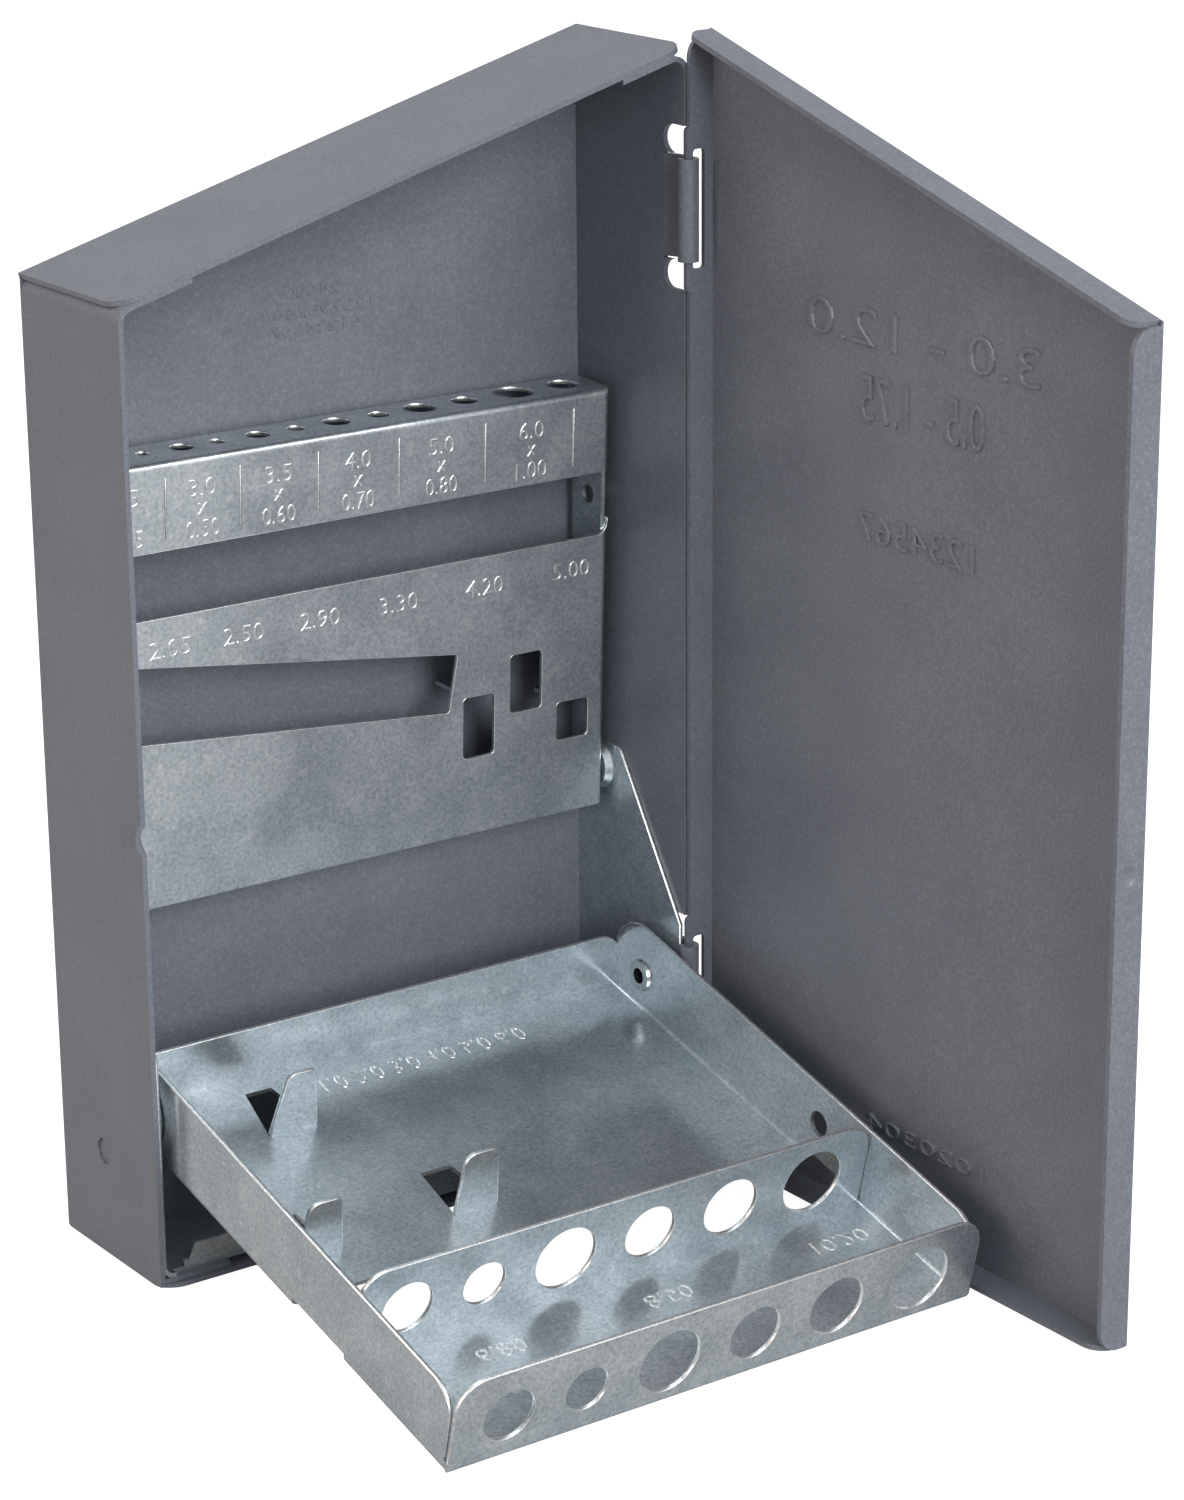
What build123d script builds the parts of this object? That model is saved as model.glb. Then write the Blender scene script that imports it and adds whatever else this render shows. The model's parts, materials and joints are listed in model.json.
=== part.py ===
from build123d import *
from math import atan2, cos, degrees, hypot, radians, sin
import os

os.makedirs("parts", exist_ok=True)

# Frame: X to the right, Y to the back, Z up, millimetres. The origin is the middle of the
# case's bottom face. The case stands on it and opens towards -Y.

# ---- driving dimensions -------------------------------------------------------------
case_width = 98.0
case_depth = 29.0
height_left = 149.0            # the top wall rises to the hinge side
height_right = 176.0
steel = 0.8                    # painted sheet of case and lid
zinc = 0.7                     # galvanised sheet of bracket, rack and tray
fold_radius = 2.5              # the side walls fold over into the upper tabs
low_fold_radius = 1.0          # and more sharply into the bottom
edge_radius = 0.6              # outside of the case's back edges
tab_width = 12.0
wall_corner = 4.5              # rounded front corners of the top and bottom walls

lid_width = 98.0
lid_depth = 5.65
lid_height_far = 150.0
lid_height_hinge = 178.2
lid_gap = 0.2                  # under the lid, so that it swings clear of the table
lid_angle = 90.5               # opened from closed
flange_corner = 3.5

hinge_x = 48.35                # hinge line
hinge_y = -15.25
hinge_heights = (25.8, 151.4)  # middle of each tongue
tongue_height = 15.6
hinge_bar = 1.2
bar_play = 0.1                 # between the bar's corner and the curl
slot_width = 2.2
slot_height = 18.2

tray_half = 46.2
tray_length = 92.35
tray_angle = 14.05             # the lowered tray slopes down to the table
tray_pivot = (-6.2, 26.2)      # y and z
tray_pivot_at = (7.75, 5.97)   # from the tray's back wall and from its underside
tray_back_wall = 9.6
tray_side_back = 14.3
tray_side_front = 12.8
tray_flange = 14.9
inner_flange_at = 66.5
window_from = 51.5
flange_hole_up = 7.3
flange_hole_places = (-36.9, -23.9, -9.8, 5.2, 19.9, 35.2)
flange_hole_sizes = (8.5, 7.2, 10.5, 8.9, 9.7, 10.7)

rack_half = 46.2
rack_height = 69.0
rack_depth = 8.8               # below the top, and then narrower to the bottom
rack_low_depth = 7.4
rack_top_depth = 9.7
rack_lean = 2.5                # its top leans towards the front
rack_top = (2.1, 121.3)        # y and z of its front top edge
rack_pivot = (7.8, 58.0)
tap_hole_places = (-40.2, -27.2, -14.2, -0.4, 14.5, 31.8)
tap_hole_sizes = (3.9, 3.9, 3.9, 4.5, 5.4, 6.6)
drill_hole_places = (-33.7, -21.1, -7.5, 7.1, 22.7, 41.0)
drill_hole_sizes = (2.3, 2.8, 3.1, 3.6, 4.5, 5.3)
rack_hole_row = 5.8            # from the rack's front face

wing_inside = 47.5
boss_height = 1.0
tray_rivet, tray_rivet_head, tray_rivet_bore = 1.9, 2.7, 1.3
rack_rivet, rack_rivet_head, rack_rivet_bore = 1.4, 2.0, 0.9
running_gap = 0.05

half = case_width / 2
front = -case_depth / 2
back = case_depth / 2
slope = degrees(atan2(height_right - height_left, case_width))
slope_length = case_width / cos(radians(slope))


def within(frame, origin, x_dir, normal):
    """A plane given by its origin and directions in the coordinates of a frame."""
    x, y, z = frame.x_dir, frame.y_dir, frame.z_dir
    place, run, face = (x * v[0] + y * v[1] + z * v[2] for v in (origin, x_dir, normal))
    return Plane(origin=frame.origin + place, x_dir=run, z_dir=face)


def finish(piece, name):
    piece.part.label = name
    export_step(piece.part, f"parts/{name}.step")
    print(name, len(piece.part.solids()), "solid", round(piece.part.volume, 1), "mm3")


# ---- case body: one folded pan ------------------------------------------------------
curl_inside = hypot(hinge_bar / 2, steel / 2) + bar_play
curl_middle = curl_inside + steel / 2
tongue_x = hinge_x + curl_middle
tongue_root = -9.2
jog_end = -11.6
relief_radius = 2.2
relief_y = -11.4
wall_middle = half - steel / 2
catch_z = 71.2
catch_out = 1.0
catch_ball_radius = 3.5
clinch_y, clinch_z = 1.3, 17.4

# the ball pressed out of the left wall's front edge
catch_middle = (-half - catch_out + catch_ball_radius, front - 0.6, catch_z)
with BuildPart() as catch_ball:
    with Locations(catch_middle):
        Sphere(catch_ball_radius)
    with Locations((-half - 1.0, front + 2.0, catch_z)):
        Box(2 * steel + 2.0, 4.0, 8.0, mode=Mode.INTERSECT)

with BuildPart() as case_body:
    # side walls, folded over into tabs that lie against the top and bottom walls
    with BuildSketch(Plane.XZ.offset(-back)) as ring:
        with BuildLine():
            Polyline(
                (-half, 0), (half, 0), (half, height_right - steel),
                (-half, height_left - steel), close=True,
            )
        make_face()
        fillet(ring.vertices().group_by(Axis.Y)[0], low_fold_radius)
        fillet(ring.vertices().sort_by(Axis.Y)[-1], fold_radius)
        fillet(ring.vertices().filter_by_position(Axis.Y, height_left - 2, height_left), fold_radius)
        offset(amount=-steel, mode=Mode.SUBTRACT)
        with Locations((0, height_right / 2)):
            Rectangle(case_width - 2 * tab_width, 2 * height_right, mode=Mode.SUBTRACT)
    extrude(amount=case_depth)
    # back panel
    with BuildSketch(Plane.XZ.offset(-back)) as back_panel:
        with BuildLine():
            Polyline((-half, 0), (half, 0), (half, height_right), (-half, height_left), close=True)
        make_face()
        fillet(back_panel.vertices().group_by(Axis.Y)[0], low_fold_radius)
    extrude(amount=steel)
    fillet(case_body.edges().filter_by(Axis.Z).group_by(Axis.Y)[-1], edge_radius)
    # bottom wall and sloping top wall, their front corners rounded
    with BuildSketch(Plane.XY):
        Rectangle(case_width - 2 * low_fold_radius, case_depth)
    extrude(amount=steel)
    with BuildSketch(Plane.XY):
        with Locations((-half, front), (half, front)):
            Rectangle(2 * wall_corner, 2 * wall_corner)
        with Locations((wall_corner - half, front + wall_corner), (half - wall_corner, front + wall_corner)):
            Circle(wall_corner, mode=Mode.SUBTRACT)
    extrude(amount=steel, mode=Mode.SUBTRACT)
    # tabs of a second layer that the bracket rests on
    with BuildSketch(Plane.XY.offset(steel)):
        for side in (-1, 1):
            with Locations((side * (half - steel - tab_width / 2 + 0.2), 0)):
                Rectangle(tab_width - 0.4, case_depth - 2 * steel)
    extrude(amount=steel)
    top_plane = Plane(
        origin=(0, 0, (height_left + height_right) / 2),
        x_dir=(cos(radians(slope)), 0, sin(radians(slope))),
        z_dir=(-sin(radians(slope)), 0, cos(radians(slope))),
    )
    with BuildSketch(top_plane) as top_wall:
        Rectangle(slope_length, case_depth)
        fillet(top_wall.vertices().group_by(Axis.Y)[0], wall_corner)
    extrude(amount=-steel)
    # room for the hinge tongues in the right wall, round at its back corners
    for z in hinge_heights:
        with BuildSketch(Plane.YZ.offset(half - 2 * steel)):
            with Locations((relief_y, z)):
                with GridLocations(0.01, tongue_height + 2 * relief_radius + 0.6, 1, 2):
                    Circle(relief_radius)
            with Locations(((relief_y + front) / 2 - 1, z)):
                Rectangle(relief_y - front + 2, tongue_height + 4 * relief_radius + 0.6)
            with Locations(((tongue_root + front) / 2, z)):
                Rectangle(tongue_root - front, tongue_height + 0.6)
        extrude(amount=3 * steel, mode=Mode.SUBTRACT)
    # tongues: out of the wall's plane, forward, and round the lid's bar
    for z in hinge_heights:
        with BuildSketch(Plane.XY.offset(z - tongue_height / 2)):
            with BuildLine() as tongue:
                FilletPolyline(
                    (wall_middle, tongue_root + 1.5), (wall_middle, tongue_root),
                    (tongue_x, jog_end), (tongue_x, hinge_y), radius=0.9,
                )
                CenterArc((hinge_x, hinge_y), curl_middle, 0, -222)
            trace(tongue.line, line_width=steel)
        extrude(amount=tongue_height)
    # catch pressed out of the left wall's front edge, hollow behind
    add(catch_ball.part)
    with Locations(catch_middle):
        Sphere(catch_ball_radius - steel, mode=Mode.SUBTRACT)
    # clinch dimples that hold the bracket's wings
    for side in (-1, 1):
        with BuildSketch(Plane.YZ.offset(side * half)):
            with Locations((clinch_y, clinch_z)):
                Circle(2.0)
        extrude(amount=-side * 0.4, mode=Mode.SUBTRACT)
finish(case_body, "case_body")

# ---- lid: a shallow pan, shown open ---------------------------------------------------
opened = radians(lid_angle)
along = Vector(-cos(opened), -sin(opened), 0)
outward = Vector(sin(opened), -cos(opened), 0)
hinge_edge = lid_depth + 0.1
pin_depth = hinge_edge - hinge_bar / 2
lid_corner = Vector(hinge_x, hinge_y, 0) - along * (steel / 2) + outward * pin_depth
# local x runs from the hinge to the free side, local y up, local z into the pan
lid_frame = Plane(origin=lid_corner, x_dir=along, z_dir=-outward)
lid_slope = degrees(atan2(lid_height_far - lid_height_hinge, lid_width))
lid_slope_length = lid_width / cos(radians(lid_slope))
lid_catch_z = 72.5

with BuildPart() as lid:
    with BuildSketch(lid_frame):
        with BuildLine():
            Polyline(
                (0, lid_gap), (lid_width, lid_gap), (lid_width, lid_height_far),
                (0, lid_height_hinge), close=True,
            )
        make_face()
    extrude(amount=steel)
    # hinge flange and free-side flange: local x is the depth, local y runs down
    for place, top in ((0, lid_height_hinge), (lid_width - steel, lid_height_far)):
        depth = lid_depth - 0.5 if place == 0 else lid_depth
        with BuildSketch(within(lid_frame, (place, 0, 0), (0, 0, 1), (1, 0, 0))) as upright:
            with BuildLine():
                Polyline((0, -lid_gap), (depth, -lid_gap), (depth, 0.6 - top), (0, 0.6 - top), close=True)
            make_face()
            fillet(upright.vertices().group_by(Axis.X)[-1], flange_corner)
            if place == 0:
                for z in hinge_heights:
                    with Locations((hinge_edge / 2, -z)):
                        RectangleRounded(hinge_edge, slot_height + 7, 0.9)
        extrude(amount=steel)
    # bottom flange and sloping top flange
    with BuildSketch(within(lid_frame, (0, lid_gap, 0), (1, 0, 0), (0, 1, 0))) as lower:
        with Locations((lid_width / 2, -lid_depth / 2)):
            Rectangle(lid_width - 0.4, lid_depth)
        fillet(lower.vertices().group_by(Axis.Y)[0], flange_corner)
    extrude(amount=steel)
    fall = (cos(radians(lid_slope)), sin(radians(lid_slope)), 0)
    below = (sin(radians(lid_slope)), -cos(radians(lid_slope)), 0)
    with BuildSketch(within(lid_frame, (0, lid_height_hinge, 0), fall, below)) as upper:
        with Locations((lid_slope_length / 2, lid_depth / 2)):
            Rectangle(lid_slope_length - 0.8, lid_depth)
        fillet(upper.vertices().group_by(Axis.Y)[-1], flange_corner - 1)
    extrude(amount=steel)
    # the bends between panel and flanges
    outer_face = lid.faces().sort_by(lambda f: lid_frame.to_local_coords(f.center()).Z)[0]
    fillet(outer_face.outer_wire().edges(), 0.7)
    # a slot beside each bar of the hinge flange
    slot_depth = hinge_edge - hinge_bar - slot_width / 2
    for z in hinge_heights:
        with BuildSketch(within(lid_frame, (-1, z, slot_depth), (0, 0, 1), (1, 0, 0))):
            RectangleRounded(slot_width, slot_height, 0.6)
        extrude(amount=2 * steel + 1, mode=Mode.SUBTRACT)
    # catch dimple in the free-side flange
    dimple = lid_frame.from_local_coords(Vector(lid_width + 3.0, lid_catch_z, lid_depth - 2.1))
    with Locations(dimple):
        Sphere(3.45, mode=Mode.SUBTRACT)
finish(lid, "lid")

# ---- bracket: base with a front lip and two wings --------------------------------------
wing_front = -13.8
wing_top = (2.4, 62.2)
wing_shoulder_z = 36.6
base_at = 2 * steel
base_front = -12.7
lip_top = 5.6
lip_half = 43.9
base_bend = 2.0

with BuildPart() as bracket:
    # base and wings, seen from the front
    with BuildSketch(Plane.XZ.offset(-(back - steel))):
        with BuildLine() as section:
            FilletPolyline(
                (-wing_inside - zinc / 2, wing_top[1]), (-wing_inside - zinc / 2, base_at + zinc / 2),
                (wing_inside + zinc / 2, base_at + zinc / 2), (wing_inside + zinc / 2, wing_top[1]),
                radius=base_bend - zinc / 2,
            )
        trace(section.line, line_width=zinc)
    extrude(amount=back - steel - wing_front)
    # the wings' slanted outline, seen from the side
    with BuildSketch(Plane.YZ.offset(-half)) as side_view:
        with BuildLine():
            Polyline(
                (back, 0), (back, wing_top[1]), wing_top, (wing_front, wing_shoulder_z),
                (wing_front, 0), close=True,
            )
        make_face()
        fillet(side_view.vertices().group_by(Axis.X)[1:3][0], 1.5)
    extrude(amount=case_width, mode=Mode.INTERSECT)
    # the base ends at a low lip that stands up between the wings
    with BuildSketch(Plane.XY):
        with Locations((0, (base_front + wing_front) / 2 - 1)):
            Rectangle(2 * lip_half + 4, base_front - wing_front + 2)
    extrude(amount=8, mode=Mode.SUBTRACT)
    with BuildSketch(Plane.XZ.offset(-base_front)):
        with BuildLine():
            Polyline(
                (-lip_half, base_at), (lip_half, base_at), (lip_half, lip_top - 0.9),
                (lip_half - 0.9, lip_top), (-lip_half + 1.9, lip_top), (-lip_half + 0.8, lip_top - 2.4),
                (-lip_half, lip_top - 2.6), close=True,
            )
        make_face()
    extrude(amount=-zinc)
    # drawn bosses round the pivots
    for side in (-1, 1):
        for pivot, radius, bore in ((tray_pivot, 7.0, tray_rivet), (rack_pivot, 3.9, rack_rivet)):
            for step, mode in ((0, Mode.ADD), (zinc, Mode.SUBTRACT)):
                with BuildSketch(Plane.YZ.offset(side * (wing_inside + step))):
                    with Locations(pivot):
                        Circle(radius)
                extrude(amount=-side * boss_height, taper=35, mode=mode)
            with BuildSketch(Plane.YZ.offset(side * half)):
                with Locations(pivot):
                    Circle(bore)
            extrude(amount=-side * 4, mode=Mode.SUBTRACT)
finish(bracket, "bracket")

# ---- hollow rivets ------------------------------------------------------------------------
head = 0.5
boss_inside = wing_inside - boss_height
for name, pivot, half_width, radius, head_radius, bore in (
    ("tray_pivots", tray_pivot, tray_half, tray_rivet, tray_rivet_head, tray_rivet_bore),
    ("rack_pivots", rack_pivot, rack_half, rack_rivet, rack_rivet_head, rack_rivet_bore),
):
    with BuildPart() as rivets:
        for side in (-1, 1):
            inner = side * (half_width - zinc - running_gap)
            outer = side * (boss_inside + zinc)
            with BuildSketch(Plane.YZ.offset(inner)):
                with Locations(pivot):
                    Circle(radius)
            extrude(amount=outer - inner)
            for face, thickness in ((inner, -side * head), (outer, side * (head - 0.1))):
                with BuildSketch(Plane.YZ.offset(face)):
                    with Locations(pivot):
                        Circle(head_radius)
                extrude(amount=thickness, taper=25)
            with BuildSketch(Plane.YZ.offset(side * (half_width - 3))):
                with Locations(pivot):
                    Circle(bore)
            extrude(amount=side * 5, mode=Mode.SUBTRACT)
    finish(rivets, name)

# ---- tray: floor, walls and two drilled flanges, made in its own tilted frame ---------------
lean = radians(tray_angle)
forward = Vector(0, -cos(lean), -sin(lean))
upward = Vector(0, -sin(lean), cos(lean))
tray_origin = (
    Vector(0, *tray_pivot) - forward * tray_pivot_at[0] - upward * tray_pivot_at[1]
)
# local x right, local y from front to back, local z up from the floor's underside
tray_frame = Plane(origin=tray_origin, x_dir=(1, 0, 0), z_dir=upward)
side_bend = 1.2
floor_bend = 1.0
end_half = tray_half - 0.2
# lanced tabs: root left, root right, top left, top right, place of the root, height
tabs = (
    (-28.2, -20.0, -26.1, -21.5, 15.7, 11.2),
    (-13.2, -5.7, -12.4, -7.0, 43.9, 11.0),
    (-40.7, -33.4, -39.9, -34.7, 44.7, 10.9),
)


def across(place):
    """The plane across the tray at a distance from its back wall, facing forward."""
    return within(tray_frame, (0, -place, 0), (1, 0, 0), (0, -1, 0))


with BuildPart() as tray:
    # floor with both side walls
    with BuildSketch(across(0)) as channel:
        with Locations((0, tray_side_back / 2)):
            Rectangle(2 * tray_half, tray_side_back)
        fillet(channel.vertices().group_by(Axis.Y)[0], side_bend)
        with BuildSketch(mode=Mode.PRIVATE) as hollow:
            with Locations((0, tray_side_back / 2 + zinc)):
                Rectangle(2 * (tray_half - zinc), tray_side_back)
            fillet(hollow.vertices().group_by(Axis.Y)[0], side_bend - zinc)
        add(hollow.sketch, mode=Mode.SUBTRACT)
    extrude(amount=tray_length)
    # the side walls' outline
    with BuildSketch(within(tray_frame, (60, 0, 0), (0, -1, 0), (-1, 0, 0))):
        with BuildLine():
            Polyline((6.7, tray_side_back), (86.8, tray_side_front))
            RadiusArc((86.8, tray_side_front), (91.2, 8.2), 5.0)
            Polyline((91.2, 8.2), (91.2, 2.0), (tray_length, 2.0), (tray_length, 0), (0, 0), (0, 4.6))
            RadiusArc((0, 4.6), (6.7, tray_side_back), 8.5)
        make_face()
    extrude(amount=120, mode=Mode.INTERSECT)
    # back wall, front flange and inner flange
    for place, width, height, corner in (
        (0, end_half, tray_back_wall, 4.0),
        (tray_length - zinc, end_half, tray_flange, 4.7),
        (inner_flange_at - zinc, tray_half - zinc - 0.2, tray_flange, 4.5),
    ):
        with BuildSketch(across(place)) as end:
            with Locations((0, (height + 0.3) / 2)):
                Rectangle(2 * width, height - 0.3)
            fillet(end.vertices().group_by(Axis.Y)[-1], corner)
        extrude(amount=zinc)
    # window in front of which the inner flange was bent up
    with BuildSketch(tray_frame.offset(-1)):
        with Locations((0, -(window_from + inner_flange_at - zinc) / 2)):
            RectangleRounded(2 * tray_half + 0.4, inner_flange_at - zinc - window_from, 0.6)
    extrude(amount=2.6, mode=Mode.SUBTRACT)
    # tool holes through both flanges
    for place in (inner_flange_at, tray_length):
        for x, size in zip(flange_hole_places, flange_hole_sizes):
            with BuildSketch(across(place + 1)):
                with Locations((x, flange_hole_up)):
                    Circle(size / 2)
            extrude(amount=-3, mode=Mode.SUBTRACT)
    # pivot holes, and an open hole further forward in the right wall
    with BuildSketch(within(tray_frame, (60, 0, 0), (0, -1, 0), (-1, 0, 0))):
        with Locations(tray_pivot_at):
            Circle(tray_rivet + running_gap)
    extrude(amount=120, mode=Mode.SUBTRACT)
    with BuildSketch(within(tray_frame, (60, 0, 0), (0, -1, 0), (-1, 0, 0))):
        with Locations((54.8, 7.3)):
            Circle(2.05)
    extrude(amount=60, mode=Mode.SUBTRACT)
    # tabs bent up out of the floor
    for left, right, top_left, top_right, root, height in tabs:
        with BuildSketch(tray_frame.offset(-1)):
            with BuildLine():
                Polyline(
                    (left, -root + zinc), (right, -root + zinc), (top_right, -root + height),
                    (top_left, -root + height), close=True,
                )
            make_face()
        extrude(amount=2, mode=Mode.SUBTRACT)
        with BuildSketch(across(root - zinc)) as tab:
            with BuildLine():
                Polyline((left, 0.1), (right, 0.1), (top_right, height), (top_left, height), close=True)
            make_face()
            fillet(tab.vertices().group_by(Axis.Y)[-1].sort_by(Axis.X)[0], 1.8)
            fillet(tab.vertices().group_by(Axis.Y)[-1].sort_by(Axis.X)[-1], 1.0)
        extrude(amount=zinc)
    # rounded bends under the front flange and the back wall
    with BuildSketch(within(tray_frame, (60, 0, 0), (0, -1, 0), (-1, 0, 0))) as envelope:
        with Locations((tray_length / 2, 10)):
            Rectangle(tray_length, 20)
        fillet(envelope.vertices().group_by(Axis.Y)[0], floor_bend)
    extrude(amount=120, mode=Mode.INTERSECT)
finish(tray, "tray")

# ---- upper rack: drilled top, face with two bands of windows ------------------------------
rack_tilt = radians(rack_lean)
rack_frame = Plane(
    origin=(0, *rack_top), x_dir=(1, 0, 0), z_dir=(0, -cos(rack_tilt), -sin(rack_tilt))
)
rack_bend = 1.0
# small windows with a tab: left, right, top, bottom
small_windows = (
    (19.0, 25.0, -46.2, -56.4),
    (27.8, 34.0, -40.7, -50.4),
    (36.8, 43.0, -50.2, -56.7),
)
shelf_left, shelf_right = (-42.6, -30.1), (18.0, -38.7)
shelf_depth = 8.2
window_high, window_low, window_corner = -13.4, -23.7, 2.1

with BuildPart() as upper_rack:
    # side flanges and face, seen from above
    with BuildSketch(within(rack_frame, (0, 0, 0), (1, 0, 0), (0, -1, 0))) as wrap:
        with Locations((0, -rack_top_depth / 2)):
            Rectangle(2 * rack_half, rack_top_depth)
        fillet(wrap.vertices().group_by(Axis.Y)[-1], rack_bend)
        with BuildSketch(mode=Mode.PRIVATE) as room:
            with Locations((0, -rack_top_depth / 2 - zinc)):
                Rectangle(2 * (rack_half - zinc), rack_top_depth)
            fillet(room.vertices().group_by(Axis.Y)[-1], rack_bend - zinc)
        add(room.sketch, mode=Mode.SUBTRACT)
    extrude(amount=rack_height)
    # top, and a narrower bottom
    with BuildSketch(within(rack_frame, (0, 0, 0), (1, 0, 0), (0, -1, 0))) as top:
        with Locations((0, -rack_top_depth / 2)):
            Rectangle(2 * (rack_half - 0.1), rack_top_depth)
        fillet(top.vertices(), 0.9)
    extrude(amount=zinc)
    with BuildSketch(within(rack_frame, (0, -rack_height, 0), (1, 0, 0), (0, 1, 0))) as low:
        with Locations((0, rack_low_depth / 2)):
            Rectangle(2 * (rack_half - zinc - 0.3), rack_low_depth - 0.6)
    extrude(amount=zinc)
    # the side flanges get narrower towards the bottom
    with BuildSketch(within(rack_frame, (60, 0, 0), (0, 1, 0), (-1, 0, 0))):
        with BuildLine():
            Polyline(
                (-4, rack_top_depth + 1), (-4, rack_top_depth), (-14, rack_depth),
                (-rack_height - 1, rack_low_depth), (-rack_height - 1, rack_top_depth + 1), close=True,
            )
        make_face()
    extrude(amount=120, mode=Mode.SUBTRACT)
    # rounded bend between top and face, and between face and bottom
    with BuildSketch(within(rack_frame, (60, 0, 0), (0, 1, 0), (-1, 0, 0))):
        for middle, outer in ((-rack_bend, 1), (rack_bend - rack_height, -1)):
            with Locations((middle + outer * (rack_bend + 1) / 2, (rack_bend - 1) / 2)):
                Rectangle(rack_bend + 1, rack_bend + 1)
            with Locations((middle, rack_bend)):
                Circle(rack_bend, mode=Mode.SUBTRACT)
    extrude(amount=120, mode=Mode.SUBTRACT)
    # holes for taps and drills in the top
    with BuildSketch(within(rack_frame, (0, 1, 0), (1, 0, 0), (0, -1, 0))):
        for x, size in zip(tap_hole_places + drill_hole_places, tap_hole_sizes + drill_hole_sizes):
            with Locations((x, -rack_hole_row)):
                Circle(size / 2)
    extrude(amount=3, mode=Mode.SUBTRACT)
    # a wide window under the upper band that cuts through both front bends
    with BuildSketch(rack_frame.offset(1)):
        with BuildLine():
            Polyline(
                (window_corner - rack_half, window_low), (rack_half - window_corner, window_low),
            )
            RadiusArc(
                (rack_half - window_corner, window_low),
                (rack_half, window_low + window_corner), -window_corner,
            )
            Polyline(
                (rack_half, window_low + window_corner), (rack_half + 1, window_low + window_corner),
                (rack_half + 1, window_high), (-rack_half - 1, window_high),
                (-rack_half - 1, window_low + window_corner), (-rack_half, window_low + window_corner),
            )
            RadiusArc(
                (-rack_half, window_low + window_corner),
                (window_corner - rack_half, window_low), -window_corner,
            )
        make_face()
    extrude(amount=-1 - rack_bend, mode=Mode.SUBTRACT)
    # a slanted window, with a shelf bent back from its upper edge
    with BuildSketch(rack_frame.offset(1)) as slanted:
        with BuildLine():
            Polyline(shelf_left, shelf_right, (16.5, -48.1), (-41.3, -42.6), close=True)
        make_face()
        fillet(slanted.vertices().sort_by(Axis.X)[-1], 0.6)
    extrude(amount=-3, mode=Mode.SUBTRACT)
    shelf_run = (shelf_right[0] - shelf_left[0], shelf_right[1] - shelf_left[1], 0)
    shelf_up = (-shelf_run[1], shelf_run[0], 0)
    shelf_length = hypot(*shelf_run[:2])
    with BuildSketch(within(rack_frame, (*shelf_left, 0), shelf_run, shelf_up)) as shelf:
        with Locations((shelf_length / 2, shelf_depth / 2)):
            Rectangle(shelf_length - 0.6, shelf_depth)
        fillet(shelf.vertices().group_by(Axis.Y)[-1], 1.0)
    extrude(amount=zinc)
    # small windows, each with a tab bent back from its upper edge
    for left, right, high, low_edge in small_windows:
        with BuildSketch(rack_frame.offset(1)) as small:
            with Locations(((left + right) / 2, (high + low_edge) / 2)):
                Rectangle(right - left, high - low_edge)
            fillet(small.vertices().group_by(Axis.X)[-1], 0.8)
        extrude(amount=-3, mode=Mode.SUBTRACT)
        with BuildSketch(within(rack_frame, (0, high, 0), (1, 0, 0), (0, 1, 0))):
            tab_depth = min(shelf_depth, high - low_edge)
            with Locations(((left + right) / 2, tab_depth / 2)):
                Rectangle(right - left - 0.4, tab_depth)
        extrude(amount=zinc)
    # pivot holes and one open hole in the side flanges
    with BuildSketch(Plane.YZ.offset(-60)):
        with Locations(rack_pivot):
            Circle(rack_rivet + running_gap)
    extrude(amount=120, mode=Mode.SUBTRACT)
    with BuildSketch(within(rack_frame, (60, 0, 0), (0, 1, 0), (-1, 0, 0))):
        with Locations((-18.2, 4.6)):
            Circle(1.5)
    extrude(amount=120, mode=Mode.SUBTRACT)
finish(upper_rack, "upper_rack")
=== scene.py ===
import json
import math

import bmesh
import bpy
import numpy as np
from mathutils import Matrix, Vector


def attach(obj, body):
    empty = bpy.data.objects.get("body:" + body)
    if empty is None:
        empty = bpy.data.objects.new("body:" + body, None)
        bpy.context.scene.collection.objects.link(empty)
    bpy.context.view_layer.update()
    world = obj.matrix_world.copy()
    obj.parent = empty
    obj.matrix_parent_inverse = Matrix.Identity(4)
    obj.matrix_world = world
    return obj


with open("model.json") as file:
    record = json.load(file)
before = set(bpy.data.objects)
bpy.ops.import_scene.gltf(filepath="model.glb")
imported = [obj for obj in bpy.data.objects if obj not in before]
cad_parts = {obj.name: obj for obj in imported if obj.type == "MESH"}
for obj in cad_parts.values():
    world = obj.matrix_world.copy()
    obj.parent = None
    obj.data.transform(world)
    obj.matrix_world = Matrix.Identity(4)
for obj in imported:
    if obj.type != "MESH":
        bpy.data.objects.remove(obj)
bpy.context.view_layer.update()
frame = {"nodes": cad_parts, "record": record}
MM = 0.001


# ---- materials ------------------------------------------------------------------------------
def linear(hex_colour):
    """An sRGB hex colour as a linear RGBA tuple."""
    channels = (int(hex_colour[i:i + 2], 16) / 255 for i in (1, 3, 5))
    return (*(c / 12.92 if c <= 0.04045 else ((c + 0.055) / 1.055) ** 2.4 for c in channels), 1.0)


def node(tree, kind, links=None, **settings):
    """Adds a node to a tree: settings are its properties, links its inputs' values or sockets."""
    made = tree.nodes.new("ShaderNode" + kind)
    for name, value in settings.items():
        setattr(made, name, value)
    for name, value in (links or {}).items():
        if isinstance(value, bpy.types.NodeSocket):
            tree.links.new(value, made.inputs[name])
        else:
            made.inputs[name].default_value = value
    return made


def new_material(name):
    """A new material and its empty tree."""
    made = bpy.data.materials.new(name)
    made.use_nodes = True
    made.node_tree.nodes.clear()
    return made, made.node_tree


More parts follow.
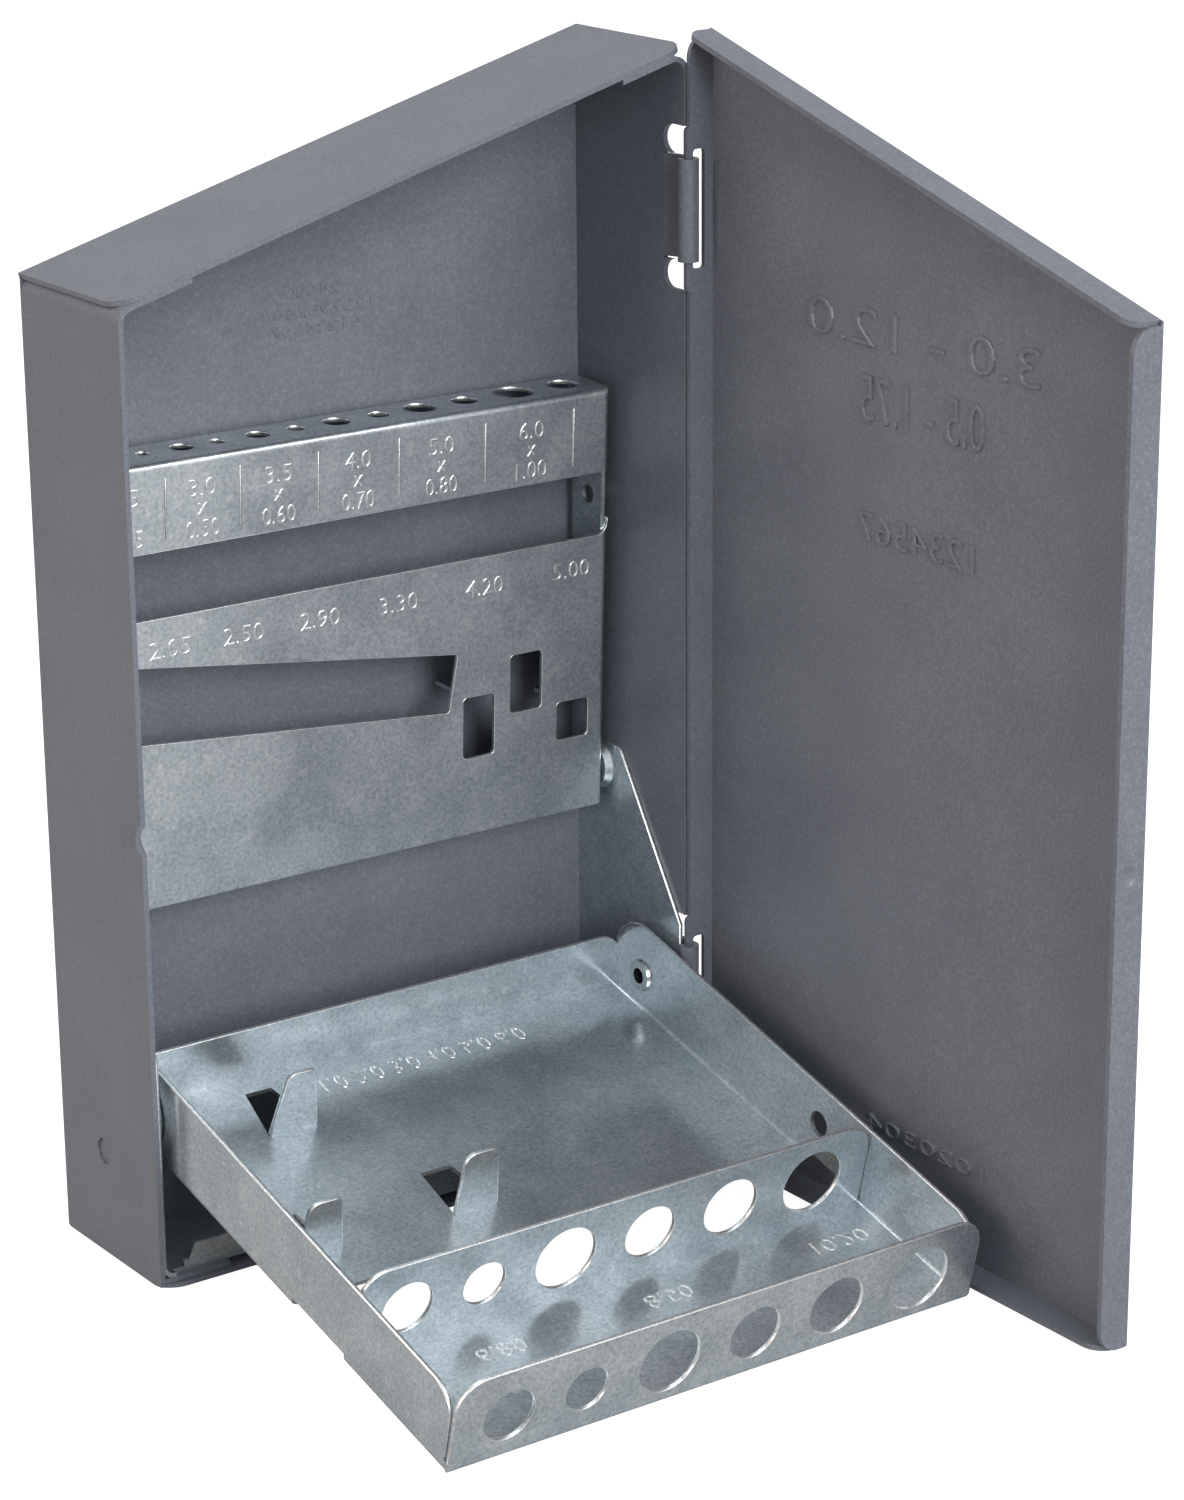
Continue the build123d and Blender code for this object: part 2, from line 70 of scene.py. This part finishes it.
def ramp(tree, factor, stops):
    """A colour ramp over (place, hex colour) stops."""
    made = node(tree, "ValToRGB", {"Fac": factor})
    band = made.color_ramp
    while len(band.elements) < len(stops):
        band.elements.new(0.5)
    for element, (place, colour) in zip(band.elements, stops):
        element.position, element.color = place, linear(colour)
    return made.outputs["Color"]


def stove_enamel():
    """Grey stoving enamel on pressed steel: satin, a little cool, with a fine orange peel that breaks
    up the broad soft reflections of a white room."""
    made, tree = new_material("grey stove enamel")
    place = node(tree, "TexCoord").outputs["Object"]
    # grain about 0.5 mm wide, orange peel about 1 mm, and cloudy patches about 14 mm
    grain = node(tree, "TexNoise", {"Vector": place, "Scale": 1 / (0.5 * MM), "Detail": 2.0})
    cloud = node(tree, "TexNoise", {"Vector": place, "Scale": 1 / (14 * MM), "Detail": 3.0})
    peel = node(tree, "TexNoise", {"Vector": place, "Scale": 1 / (1.1 * MM), "Detail": 2.0})
    base = ramp(tree, grain.outputs["Fac"], ((0.30, "#5f646d"), (0.55, "#686c75"), (0.80, "#767b84")))
    tone = ramp(tree, cloud.outputs["Fac"], ((0.30, "#f2f2f4"), (0.70, "#ffffff")))
    colour = node(tree, "Mix", {"Factor": 1.0, "A": base, "B": tone}, data_type="RGBA", blend_type="MULTIPLY")
    bump = node(tree, "Bump", {"Height": peel.outputs["Fac"], "Strength": 0.40, "Distance": 0.1 * MM})
    skin = node(tree, "BsdfPrincipled", {
        "Base Color": colour.outputs["Result"], "Roughness": 0.33, "IOR": 1.5,
        "Normal": bump.outputs["Normal"],
    })
    node(tree, "OutputMaterial", {"Surface": skin.outputs["BSDF"]})
    return made


def galvanised_sheet():
    """Zinc-plated sheet: rather more than half of it polished by the rolls and mirror-like, the rest
    frosted, with a fine cool grain, leaves of plating that differ a little in tone, small pale spots
    where the plating is thick, and faint scratches across the sheet."""
    made, tree = new_material("zinc-plated sheet")
    place = node(tree, "TexCoord").outputs["Object"]
    # clouds about 8 mm wide, leaves of plating 2.6 mm, pale spots under 1 mm, grain 0.5 mm, and
    # scratches about 0.4 mm apart that run from side to side
    cloud = node(tree, "TexNoise", {"Vector": place, "Scale": 1 / (8 * MM), "Detail": 4.0})
    grain = node(tree, "TexNoise", {"Vector": place, "Scale": 1 / (0.55 * MM), "Detail": 3.0})
    spot = node(tree, "TexNoise", {"Vector": place, "Scale": 1 / (1.7 * MM), "Detail": 1.0})
    stretched = node(tree, "Mapping", {"Vector": place, "Scale": (0.07, 1.0, 1.0)})
    scratch = node(tree, "TexNoise", {
        "Vector": stretched.outputs["Vector"], "Scale": 1 / (0.4 * MM), "Detail": 2.0,
    })
    base = ramp(tree, grain.outputs["Fac"], ((0.30, "#bcc6cc"), (0.50, "#d2dadf"), (0.72, "#e6ebee")))
    leaf = node(tree, "TexVoronoi", {"Vector": place, "Scale": 1 / (2.6 * MM)})
    spangle = node(tree, "MapRange", {"Value": leaf.outputs["Color"], "To Min": 0.93, "To Max": 1.0})
    pale = ramp(tree, spot.outputs["Fac"], ((0.66, "#000000"), (0.74, "#8d9092")))
    haze = ramp(tree, cloud.outputs["Fac"], ((0.38, "#eff1f2"), (0.60, "#ffffff")))
    worn = node(tree, "Mix", {"Factor": 1.0, "A": base, "B": haze}, data_type="RGBA", blend_type="MULTIPLY")
    leaves = node(tree, "Mix", {"Factor": 1.0, "A": worn.outputs["Result"], "B": spangle.outputs["Result"]},
                  data_type="RGBA", blend_type="MULTIPLY")
    colour = node(tree, "Mix", {"Factor": 1.0, "A": leaves.outputs["Result"], "B": pale}, data_type="RGBA",
                  blend_type="SCREEN")
    rough = node(tree, "MapRange", {"Value": cloud.outputs["Fac"], "From Min": 0.35, "From Max": 0.65,
                                    "To Min": 0.15, "To Max": 0.24})
    relief = node(tree, "Math", {0: grain.outputs["Fac"], 1: scratch.outputs["Fac"]}, operation="ADD")
    bump = node(tree, "Bump", {"Height": relief.outputs["Value"], "Strength": 0.12, "Distance": 0.1 * MM})
    polished = node(tree, "BsdfPrincipled", {
        "Base Color": colour.outputs["Result"], "Metallic": 1.0, "Roughness": rough.outputs["Result"],
        "Normal": bump.outputs["Normal"],
    })
    frosted = node(tree, "BsdfPrincipled", {
        "Base Color": colour.outputs["Result"], "Metallic": 1.0, "Roughness": 0.55,
        "Normal": bump.outputs["Normal"],
    })
    frosting = 0.42
    both = node(tree, "MixShader", {0: frosting, 1: polished.outputs["BSDF"], 2: frosted.outputs["BSDF"]})
    node(tree, "OutputMaterial", {"Surface": both.outputs["Shader"]})
    return made


def painted_highlight_zinc():
    """Paler, rougher zinc on the crests of struck numbers and along cut edges: a painted highlight,
    so that they stand out as fine bright lines."""
    made, tree = new_material("zinc with painted highlight")
    place = node(tree, "TexCoord").outputs["Object"]
    grain = node(tree, "TexNoise", {"Vector": place, "Scale": 1 / (0.4 * MM), "Detail": 2.0})
    # paler than the sheet: painted highlight where cut edges and raised crests catch the light
    base = ramp(tree, grain.outputs["Fac"], ((0.35, "#c9cdcf"), (0.65, "#f4f6f6")))
    skin = node(tree, "BsdfPrincipled", {"Base Color": base, "Metallic": 1.0, "Roughness": 0.38})
    node(tree, "OutputMaterial", {"Surface": skin.outputs["BSDF"]})
    return made


def rivet_steel():
    """Zinc-plated steel rivets, spun smooth by the riveting tool."""
    made, tree = new_material("zinc-plated rivet")
    skin = node(tree, "BsdfPrincipled", {
        "Base Color": linear("#b3b8b9"), "Metallic": 1.0, "Roughness": 0.25,
    })
    node(tree, "OutputMaterial", {"Surface": skin.outputs["BSDF"]})
    return made


finishes = {
    "grey_paint": stove_enamel(),
    "galvanised": galvanised_sheet(),
    "rivet_steel": rivet_steel(),
}
# the paler zinc of painted highlights, for cut edges, raised lines and numbers
painted_highlight_finish = painted_highlight_zinc()
for part in frame["record"]["subparts"]:
    mesh = frame["nodes"][part["node"]].data
    mesh.materials.clear()
    mesh.materials.append(finishes[part["material_slot"]])


# ---- the sheets that carry raised numbers and bright cut edges ------------------------------
class Plate:
    """A flat sheet: a corner, two directions along it and the direction out of its face."""

    def __init__(self, corner, across, along, out):
        self.corner, self.across, self.along, self.out = (
            np.array(v, float) for v in (corner, across, along, out))

    def at(self, points):
        """Points (across, along, out of the face) in millimetres, as places in metres."""
        points = np.asarray(points, float) * MM
        return self.corner + points @ np.array((self.across, self.along, self.out))


joints = {j["name"]: j for j in frame["record"]["behaviour"]["joints"]}
steel, zinc = 0.8, 0.7                         # sheet thickness, mm

# upper rack: across to the right, along downwards, out to the front
rack_edge = (0.0, 2.1 * MM, 121.3 * MM)        # middle of its upper front edge
rack_lean = math.radians(2.5)
rack_face = Plate(rack_edge, (1, 0, 0),
                  (0, math.sin(rack_lean), -math.cos(rack_lean)),
                  (0, -math.cos(rack_lean), -math.sin(rack_lean)))
rack_top = Plate(rack_face.corner, (1, 0, 0), -rack_face.out, -rack_face.along)

# tray: across to the right, along to the front, out upwards
tray_slope = math.radians(14.05)
tray_forward = np.array((0, -math.cos(tray_slope), -math.sin(tray_slope)))
tray_up = np.array((0, -math.sin(tray_slope), math.cos(tray_slope)))
pivot_forward, pivot_up = 7.75, 5.97           # from the tray's lower back corner
tray_length, inner_flange_at = 92.35, 66.5
tray_half_width = 46.2
tray_corner = (np.array(joints["tray_hinge"]["pos_m"]) - tray_forward * pivot_forward * MM
               - tray_up * pivot_up * MM)
tray_floor = Plate(tray_corner + tray_up * zinc * MM, (1, 0, 0), tray_forward, tray_up)


def tray_cross(place):
    """The plate of a wall that stands across the tray, its front face at a distance from the back."""
    return Plate(tray_corner + tray_forward * place * MM, (1, 0, 0), tray_up, tray_forward)


# lid: across from the hinge to the free side, along upwards, out into the pan
lid_turn = math.radians(90.5)
lid_across = np.array((-math.cos(lid_turn), -math.sin(lid_turn), 0))
lid_outward = np.array((math.sin(lid_turn), -math.cos(lid_turn), 0))
hinge_inset, hinge_to_face = 0.4, 5.15         # from the lid's hinge side and from its outer face
lid_corner = (np.array(joints["lid_hinge"]["pos_m"]) - lid_across * hinge_inset * MM
              + lid_outward * (hinge_to_face - steel) * MM)
lid_panel = Plate(lid_corner, lid_across, (0, 0, 1), -lid_outward)
back_face = 13.7                               # its front face, behind the middle
back_panel = Plate((0, back_face * MM, 0), (1, 0, 0), (0, 0, 1), (0, -1, 0))


def quads(rows, columns, closed_rows=False, closed_columns=False):
    """Corner numbers of the quads over a grid of points; a closed way joins its end to its start."""
    i, j = np.meshgrid(np.arange(rows - (not closed_rows)), np.arange(columns - (not closed_columns)),
                       indexing="ij")
    k, m = (i + 1) % rows, (j + 1) % columns
    return np.stack((i * columns + j, k * columns + j, k * columns + m, i * columns + m), -1).reshape(-1, 4)


def piece(name, forms, body, slot, finish=None, smooth=True):
    """One object at the origin from closed forms, each its points in metres and its faces, which are
    turned outwards. It rides a body and takes its slot's finish, or the finish given, such as the paler zinc
    of painted highlights."""
    points, faces, count = [], [], 0
    for form_points, form_faces in forms:
        points.append(form_points)
        faces += (form_faces + count).tolist()
        count += len(form_points)
    data = bpy.data.meshes.new(name)
    data.from_pydata(np.concatenate(points).tolist(), [], faces)
    data.materials.append(finish or finishes[slot])
    work = bmesh.new()
    work.from_mesh(data)
    bmesh.ops.recalc_face_normals(work, faces=work.faces)
    work.to_mesh(data)
    work.free()
    data.polygons.foreach_set("use_smooth", np.full(len(data.polygons), smooth))
    made = bpy.data.objects.new(name, data)
    bpy.context.collection.objects.link(made)
    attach(made, body)


def stamped(words, plate, middle, width, height, mirrored=False, rise=0.14):
    """Numbers stamped up out of a sheet from behind. The figures are made flat, stretched to a
    width and height in mm (a height below 0 where the plate runs downwards), mirrored where they
    read from the far side, and then laid on the plate about a middle point, half in, half out."""
    curve = bpy.data.curves.new("numbers", "FONT")
    curve.body, curve.size, curve.resolution_u = words, 4.0, 3
    curve.extrude, curve.bevel_depth, curve.bevel_resolution, curve.offset = 0.03, 0.09, 1, -0.09
    letters = bpy.data.objects.new("numbers", curve)
    bpy.context.collection.objects.link(letters)
    bpy.context.view_layer.update()
    flat = letters.to_mesh()
    flat.calc_loop_triangles()
    points = np.empty(len(flat.vertices) * 3)
    flat.vertices.foreach_get("co", points)
    faces = np.empty(len(flat.loop_triangles) * 3, int)
    flat.loop_triangles.foreach_get("vertices", faces)
    bpy.data.objects.remove(letters)
    points = points.reshape(-1, 3)
    low, high = points.min(0), points.max(0)
    points = (points - (low + high) / 2) * (width, height, 2 * rise) / (high - low)
    points[:, 0] *= -1 if mirrored else 1
    points[:, :2] += middle
    return plate.at(points), faces.reshape(-1, 3)


def bead(plate, path, half_width, rise, lift=0.0, closed=False):
    """A bead along a path on a sheet, as wide as a line struck into it or as round as a cut edge.
    Round it v, point = path(u) + taper(u) (half_width cos v sideways(u) + rise sin v out), with
    taper 1 on a closed path and falling to nothing at the ends of an open one."""
    path = np.asarray(path, float)
    if closed:
        tangent, taper = np.roll(path, -1, 0) - np.roll(path, 1, 0), np.ones(len(path))
    else:
        ahead, astern = path[1] - path[0], path[-2] - path[-1]
        near = half_width * np.array((0.02, 0.3, 1.0))[:, None]
        path = np.concatenate((path[0] + near * ahead / np.linalg.norm(ahead), path[1:-1],
                               path[-1] + near[::-1] * astern / np.linalg.norm(astern)))
        taper = np.ones(len(path))
        taper[:2], taper[-2:] = (0.05, 0.75), (0.75, 0.05)
        tangent = np.gradient(path, axis=0)
    tangent /= np.linalg.norm(tangent, axis=1)[:, None]
    side = np.stack((tangent[:, 1], -tangent[:, 0]), -1)
    v = np.linspace(0, 2 * np.pi, 8, endpoint=False)[None, :]
    flat = path[:, None] + (taper[:, None] * half_width * np.cos(v))[..., None] * side[:, None]
    points = np.concatenate((flat, (lift + taper[:, None] * rise * np.sin(v))[..., None]), -1)
    faces = quads(*flat.shape[:2], closed_rows=closed, closed_columns=True)
    return plate.at(points.reshape(-1, 3)), faces


def cut_edge(plate, path, closed=False, half_width=0.11):
    """A rounded bright edge over the whole thickness of a zinc-plated sheet under its plate."""
    return bead(plate, path, half_width, zinc / 2 + 0.02, -zinc / 2, closed)


def circle(middle, radius, steps=48):
    """Points round a circle."""
    turn = np.linspace(0, 2 * np.pi, steps, endpoint=False)
    return np.array(middle) + radius * np.stack((np.cos(turn), np.sin(turn)), -1)


def rounded(corners, radii, steps=7):
    """A path of straight runs whose corners are arcs of these radii; a radius of 0 stays a point."""
    corners = np.array(corners, float)
    path = []
    for i, (corner, radius) in enumerate(zip(corners, np.broadcast_to(radii, len(corners)))):
        if not radius:
            path.append(corner[None])
            continue
        before, after = corners[i - 1] - corner, corners[(i + 1) % len(corners)] - corner
        before, after = before / np.linalg.norm(before), after / np.linalg.norm(after)
        half = np.arccos(before @ after) / 2
        middle = (before + after) / np.linalg.norm(before + after)
        centre = corner + middle * radius / np.sin(half)
        start, end = (corner + way * radius / np.tan(half) - centre for way in (before, after))
        swing, t = np.pi - 2 * half, np.linspace(0, 1, steps)[:, None]
        path.append(centre + (np.sin((1 - t) * swing) * start + np.sin(t * swing) * end) / np.sin(swing))
    return np.concatenate(path)


# ---- raised numbers and lines ---------------------------------------------------------------
# sizes over pitches in the rack's upper band, between raised lines, and a row of sizes under the
# wide window: (place across, figures)
dividers = (-33.3, -20.7, -7.2, 7.1, 22.8, 39.3)
threads = ((-40.0, "2.5", "0.45"), (-27.1, "3.0", "0.50"), (-14.1, "3.5", "0.60"),
           (-0.2, "4.0", "0.70"), (14.8, "5.0", "0.80"), (31.4, "6.0", "1.00"))
drills = ((-33.0, "2.05"), (-20.4, "2.50"), (-7.0, "2.90"), (7.1, "3.30"), (22.9, "4.20"), (39.3, "5.00"))
piece("rack_raised_lines", [bead(rack_face, ((x, 2.3), (x, 11.7)), 0.2, 0.16) for x in dividers],
      "rack", "galvanised", painted_highlight_finish)
piece("rack_thread_sizes", [stamped(size, rack_face, (x, 4.7), 4.6, -2.7) for x, size, _ in threads]
      + [stamped("x", rack_face, (x, 7.9), 1.7, -1.7) for x, _, _ in threads]
      + [stamped(pitch, rack_face, (x, 11.0), 5.8, -2.7) for x, _, pitch in threads],
      "rack", "galvanised", painted_highlight_finish, smooth=False)
piece("rack_drill_sizes", [stamped(size, rack_face, (x, 28.5), 7.0, -2.7) for x, size in drills],
      "rack", "galvanised", painted_highlight_finish, smooth=False)

# the tray's numbers are struck from below to be read with the tray up, so from above they are
# mirrored with their feet to the back
tray_sizes = ((-24.6, "6.80"), (4.8, "8.50"), (36.6, "10.20"))
piece("tray_sizes", [stamped(size, tray_floor, (x, 73.5), 2.0 * len(size), 2.9) for x, size in tray_sizes]
      + [stamped("1.0 2.0 3.0 4.0 5.0 6.0", tray_floor, (4.8, 7.5), 37.6, 3.3)],
      "tray", "galvanised", painted_highlight_finish, smooth=False)

# numbers pressed into the lid and the back panel from outside, so they read backwards inside
lid_rows = (("3.0 - 12.0", 49.4, 139.2, 50.9, 5.8), ("0.5 - 1.75", 50.0, 128.7, 27.1, 7.1),
            ("1234567", 49.0, 109.5, 26.0, 4.4), ("1020304", 53.5, 16.0, 27.0, 2.4))
piece("lid_numbers", [stamped(words, lid_panel, (s, z), width, height, mirrored=True, rise=0.42)
                      for words, s, z, width, height in lid_rows], "lid", "grey_paint", smooth=False)
back_rows = (("24680", -0.4, 140.6, 9.7), ("1357902468", 0.4, 137.6, 19.5), ("01234567", 0.0, 134.9, 15.9))
piece("back_panel_numbers", [stamped(words, back_panel, (x, z), width, 1.8, mirrored=True, rise=0.13)
                             for words, x, z, width in back_rows], "case", "grey_paint", smooth=False)

# ---- bright cut edges -----------------------------------------------------------------------
# round the punched holes: (place across, diameter) of each, in rows at a depth or a height
rack_holes = ((-40.2, 3.9), (-27.2, 3.9), (-14.2, 3.9), (-0.4, 4.5), (14.5, 5.4), (31.8, 6.6),
              (-33.7, 2.3), (-21.1, 2.8), (-7.5, 3.1), (7.1, 3.6), (22.7, 4.5), (41.0, 5.3))
tray_holes = ((-36.9, 8.5), (-23.9, 7.2), (-9.8, 10.5), (5.2, 8.9), (19.9, 9.7), (35.2, 10.7))
rack_row, tray_row, fine_edge = 5.8, 7.3, 0.08
piece("rack_hole_edges",
      [cut_edge(rack_top, circle((x, rack_row), size / 2), closed=True, half_width=fine_edge)
       for x, size in rack_holes],
      "rack", "galvanised", painted_highlight_finish)
piece("tray_hole_edges",
      [cut_edge(tray_cross(place), circle((x, tray_row), size / 2, steps=64), closed=True,
                half_width=fine_edge)
       for place in (tray_length, inner_flange_at) for x, size in tray_holes],
      "tray", "galvanised", painted_highlight_finish)

# round the windows in the rack's face, across and down from its top
small_windows = (((19.0, 46.2), (25.0, 56.4)), ((27.8, 40.7), (34.0, 50.4)), ((36.8, 50.2), (43.0, 56.7)))
slanted_window = ((-42.6, 30.1), (18.0, 38.7), (16.5, 48.1), (-41.3, 42.6))
wide_window_top = ((-45.2, 13.4), (45.2, 13.4))
wide_window_foot = ((-46.1, 21.0), (-46.1, 23.7), (46.1, 23.7), (46.1, 21.0))
piece("rack_window_edges",
      [cut_edge(rack_face, rounded(slanted_window, 0.6), closed=True)]
      + [cut_edge(rack_face, rounded(((x0, y0), (x1, y0), (x1, y1), (x0, y1)), 0.8), closed=True)
         for (x0, y0), (x1, y1) in small_windows]
      + [cut_edge(rack_face, wide_window_top),
         cut_edge(rack_face, rounded(wide_window_foot, (0, 2.0, 2.0, 0)))],
      "rack", "galvanised", painted_highlight_finish)


def upright(half, height, corner):
    """The sides and top of a wall across the tray, with rounded corners."""
    return rounded(((-half, 1.6), (-half, height), (half, height), (half, 1.6)), (0, corner, corner, 0))


# along the bracket's slanted wings, whose inner faces stand this far from the middle
wing_inside = 47.5
wing = rounded(((-13.8, 3.0), (-13.8, 36.6), (2.4, 62.2), (13.2, 62.2)), (0, 0, 1.5, 0))
piece("wing_edges", [cut_edge(Plate((side * wing_inside * MM, 0, 0), (0, 1, 0), (0, 0, 1), (-side, 0, 0)),
                              wing) for side in (-1, 1)], "case", "galvanised", painted_highlight_finish)

# and along the tray's walls, flanges (place, half width, height, corner) and bent-up tabs, each an
# outline and its place
side_wall = rounded(((0.0, 3.0), (0.35, 14.4), (91.2, 12.7), (91.2, 2.4)), (0, 6.6, 4.6, 0))
tabs = (
    ((-28.2, 0.9), (-26.1, 11.2), (-21.5, 11.2), (-20.0, 0.9), 15.7),
    ((-13.2, 0.9), (-12.4, 11.0), (-7.0, 11.0), (-5.7, 0.9), 43.9),
    ((-40.7, 0.9), (-39.9, 10.9), (-34.7, 10.9), (-33.4, 0.9), 44.7),
)
piece("tray_wall_edges",
      [cut_edge(Plate(tray_corner + np.array((side * tray_half_width * MM, 0, 0)), tray_forward, tray_up,
                      (side, 0, 0)), side_wall) for side in (-1, 1)]
      + [cut_edge(tray_cross(place), upright(half, height, corner)) for place, half, height, corner in
         ((tray_length, 46.0, 14.9, 4.7), (inner_flange_at, 45.3, 14.9, 4.5), (zinc, 46.0, 9.6, 4.0))]
      + [cut_edge(tray_cross(place), rounded(outline, (0, 1.8, 1.0, 0))) for *outline, place in tabs],
      "tray", "galvanised", painted_highlight_finish)


# ---- room, lamps and camera -----------------------------------------------------------------
def seen_directly(tree):
    """1 where the camera looks straight at the surroundings, which are white there, and 0 for the
    light and reflections that they give, which are softer."""
    return node(tree, "LightPath").outputs["Is Camera Ray"]


world = bpy.data.worlds.new("white room")
bpy.context.scene.world = world
world.use_nodes = True
sky = world.node_tree
sky.nodes.clear()
room_light = 0.5
level = node(sky, "MapRange", {"Value": seen_directly(sky), "To Min": room_light, "To Max": 1.0})
glow = node(sky, "Background", {"Color": (1, 1, 1, 1), "Strength": level.outputs["Result"]})
node(sky, "OutputWorld", {"Surface": glow.outputs["Background"]})

table_top, tree = new_material("white table")
table_glow = 0.93
lit = node(tree, "BsdfDiffuse", {"Color": linear("#a4a4a4")})
lift = node(tree, "Math", {0: seen_directly(tree), 1: table_glow}, operation="MULTIPLY")
shine = node(tree, "Emission", {"Color": (1, 1, 1, 1), "Strength": lift.outputs["Value"]})
both = node(tree, "AddShader", {0: lit.outputs["BSDF"], 1: shine.outputs["Emission"]})
node(tree, "OutputMaterial", {"Surface": both.outputs["Shader"]})
reach = 6.0
floor_mesh = bpy.data.meshes.new("table")
floor_mesh.from_pydata(
    [(-reach, -reach, 0), (reach, -reach, 0), (reach, reach, 0), (-reach, reach, 0)], [], [(0, 1, 2, 3)])
floor_mesh.materials.append(table_top)
table = bpy.data.objects.new("table", floor_mesh)
table.location.z = -0.2 * MM                   # just clear of the case
bpy.context.collection.objects.link(table)


def lamp(name, place, aim, width, power, colour="#ffffff"):
    """A square soft box that shines from a place at a point."""
    data = bpy.data.lights.new(name, "AREA")
    data.size, data.energy, data.color = width, power, linear(colour)[:3]
    made = bpy.data.objects.new(name, data)
    made.location = place
    made.rotation_euler = (Vector(aim) - Vector(place)).to_track_quat("-Z", "Y").to_euler()
    bpy.context.collection.objects.link(made)


middle = (0.0, -0.03, 0.08)
lamp("front soft box", (-0.05, -1.30, 0.55), middle, 0.8, 18.0)
lamp("left soft box", (-1.25, 0.15, 0.45), middle, 0.8, 9.5, "#ffe9dc")
lamp("top soft box", (-0.1, 0.3, 1.3), middle, 0.7, 5.0)
lamp("low card", (0.25, -0.45, 0.5), (0.08, -0.2, 0.0), 0.2, 1.0)

camera_place = Vector((-312.60, -497.71, 261.36)) * MM
camera_aim = Vector((40.60, 0.0, 63.67)) * MM
camera_roll = math.radians(-0.482)
ahead = (camera_aim - camera_place).normalized()
level_right = ahead.cross(Vector((0, 0, 1))).normalized()
level_up = level_right.cross(ahead)
right = level_right * math.cos(camera_roll) + level_up * math.sin(camera_roll)
up = level_up * math.cos(camera_roll) - level_right * math.sin(camera_roll)
lens = bpy.data.cameras.new("camera")
lens.lens, lens.sensor_width = 96.97, 36.0
lens.clip_start, lens.clip_end = 0.01, 20.0
camera = bpy.data.objects.new("camera", lens)
turn = Matrix((right, up, -ahead)).transposed().to_4x4()
camera.matrix_world = Matrix.Translation(camera_place) @ turn
bpy.context.collection.objects.link(camera)
bpy.context.scene.camera = camera
bpy.context.scene.view_settings.view_transform = "Standard"
